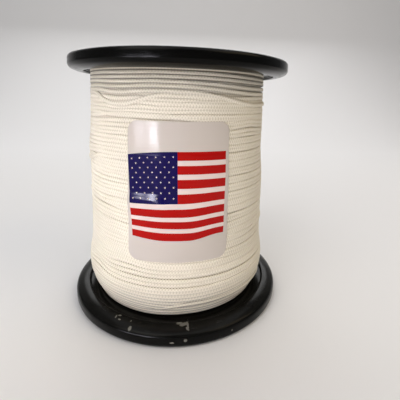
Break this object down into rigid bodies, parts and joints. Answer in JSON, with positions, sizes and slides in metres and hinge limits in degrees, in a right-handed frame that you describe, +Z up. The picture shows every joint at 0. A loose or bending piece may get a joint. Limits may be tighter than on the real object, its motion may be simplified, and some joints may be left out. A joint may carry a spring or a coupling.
{
  "type": "string reel",
  "caption": "Standing reel of braided white string: black moulded flanges with rounded rims on a tube, full level winding, glossy printed film on the front.",
  "frame": {"origin": "centre of the lower flange's resting plane, on the reel's axis", "axes": "+Z up along the reel's axis, from the lower flange to the upper one; the label film faces -Y"},
  "size_m": [0.1016, 0.1016, 0.113],
  "materials": {
    "black_plastic": "glossy moulded, lightly scuffed",
    "tube_board": "spiral-wound board",
    "white_string": "braided, matte with a slight sheen",
    "printed_film": "glossy film with a printed striped flag"
  },
  "bodies": {
    "root": {"lower_flange": "black_plastic", "upper_flange": "black_plastic", "core_tube": "tube_board", "string_inner_layers": "white_string", "string_outer_layer": "white_string", "label_film": "printed_film"}
  },
  "joints": []
}
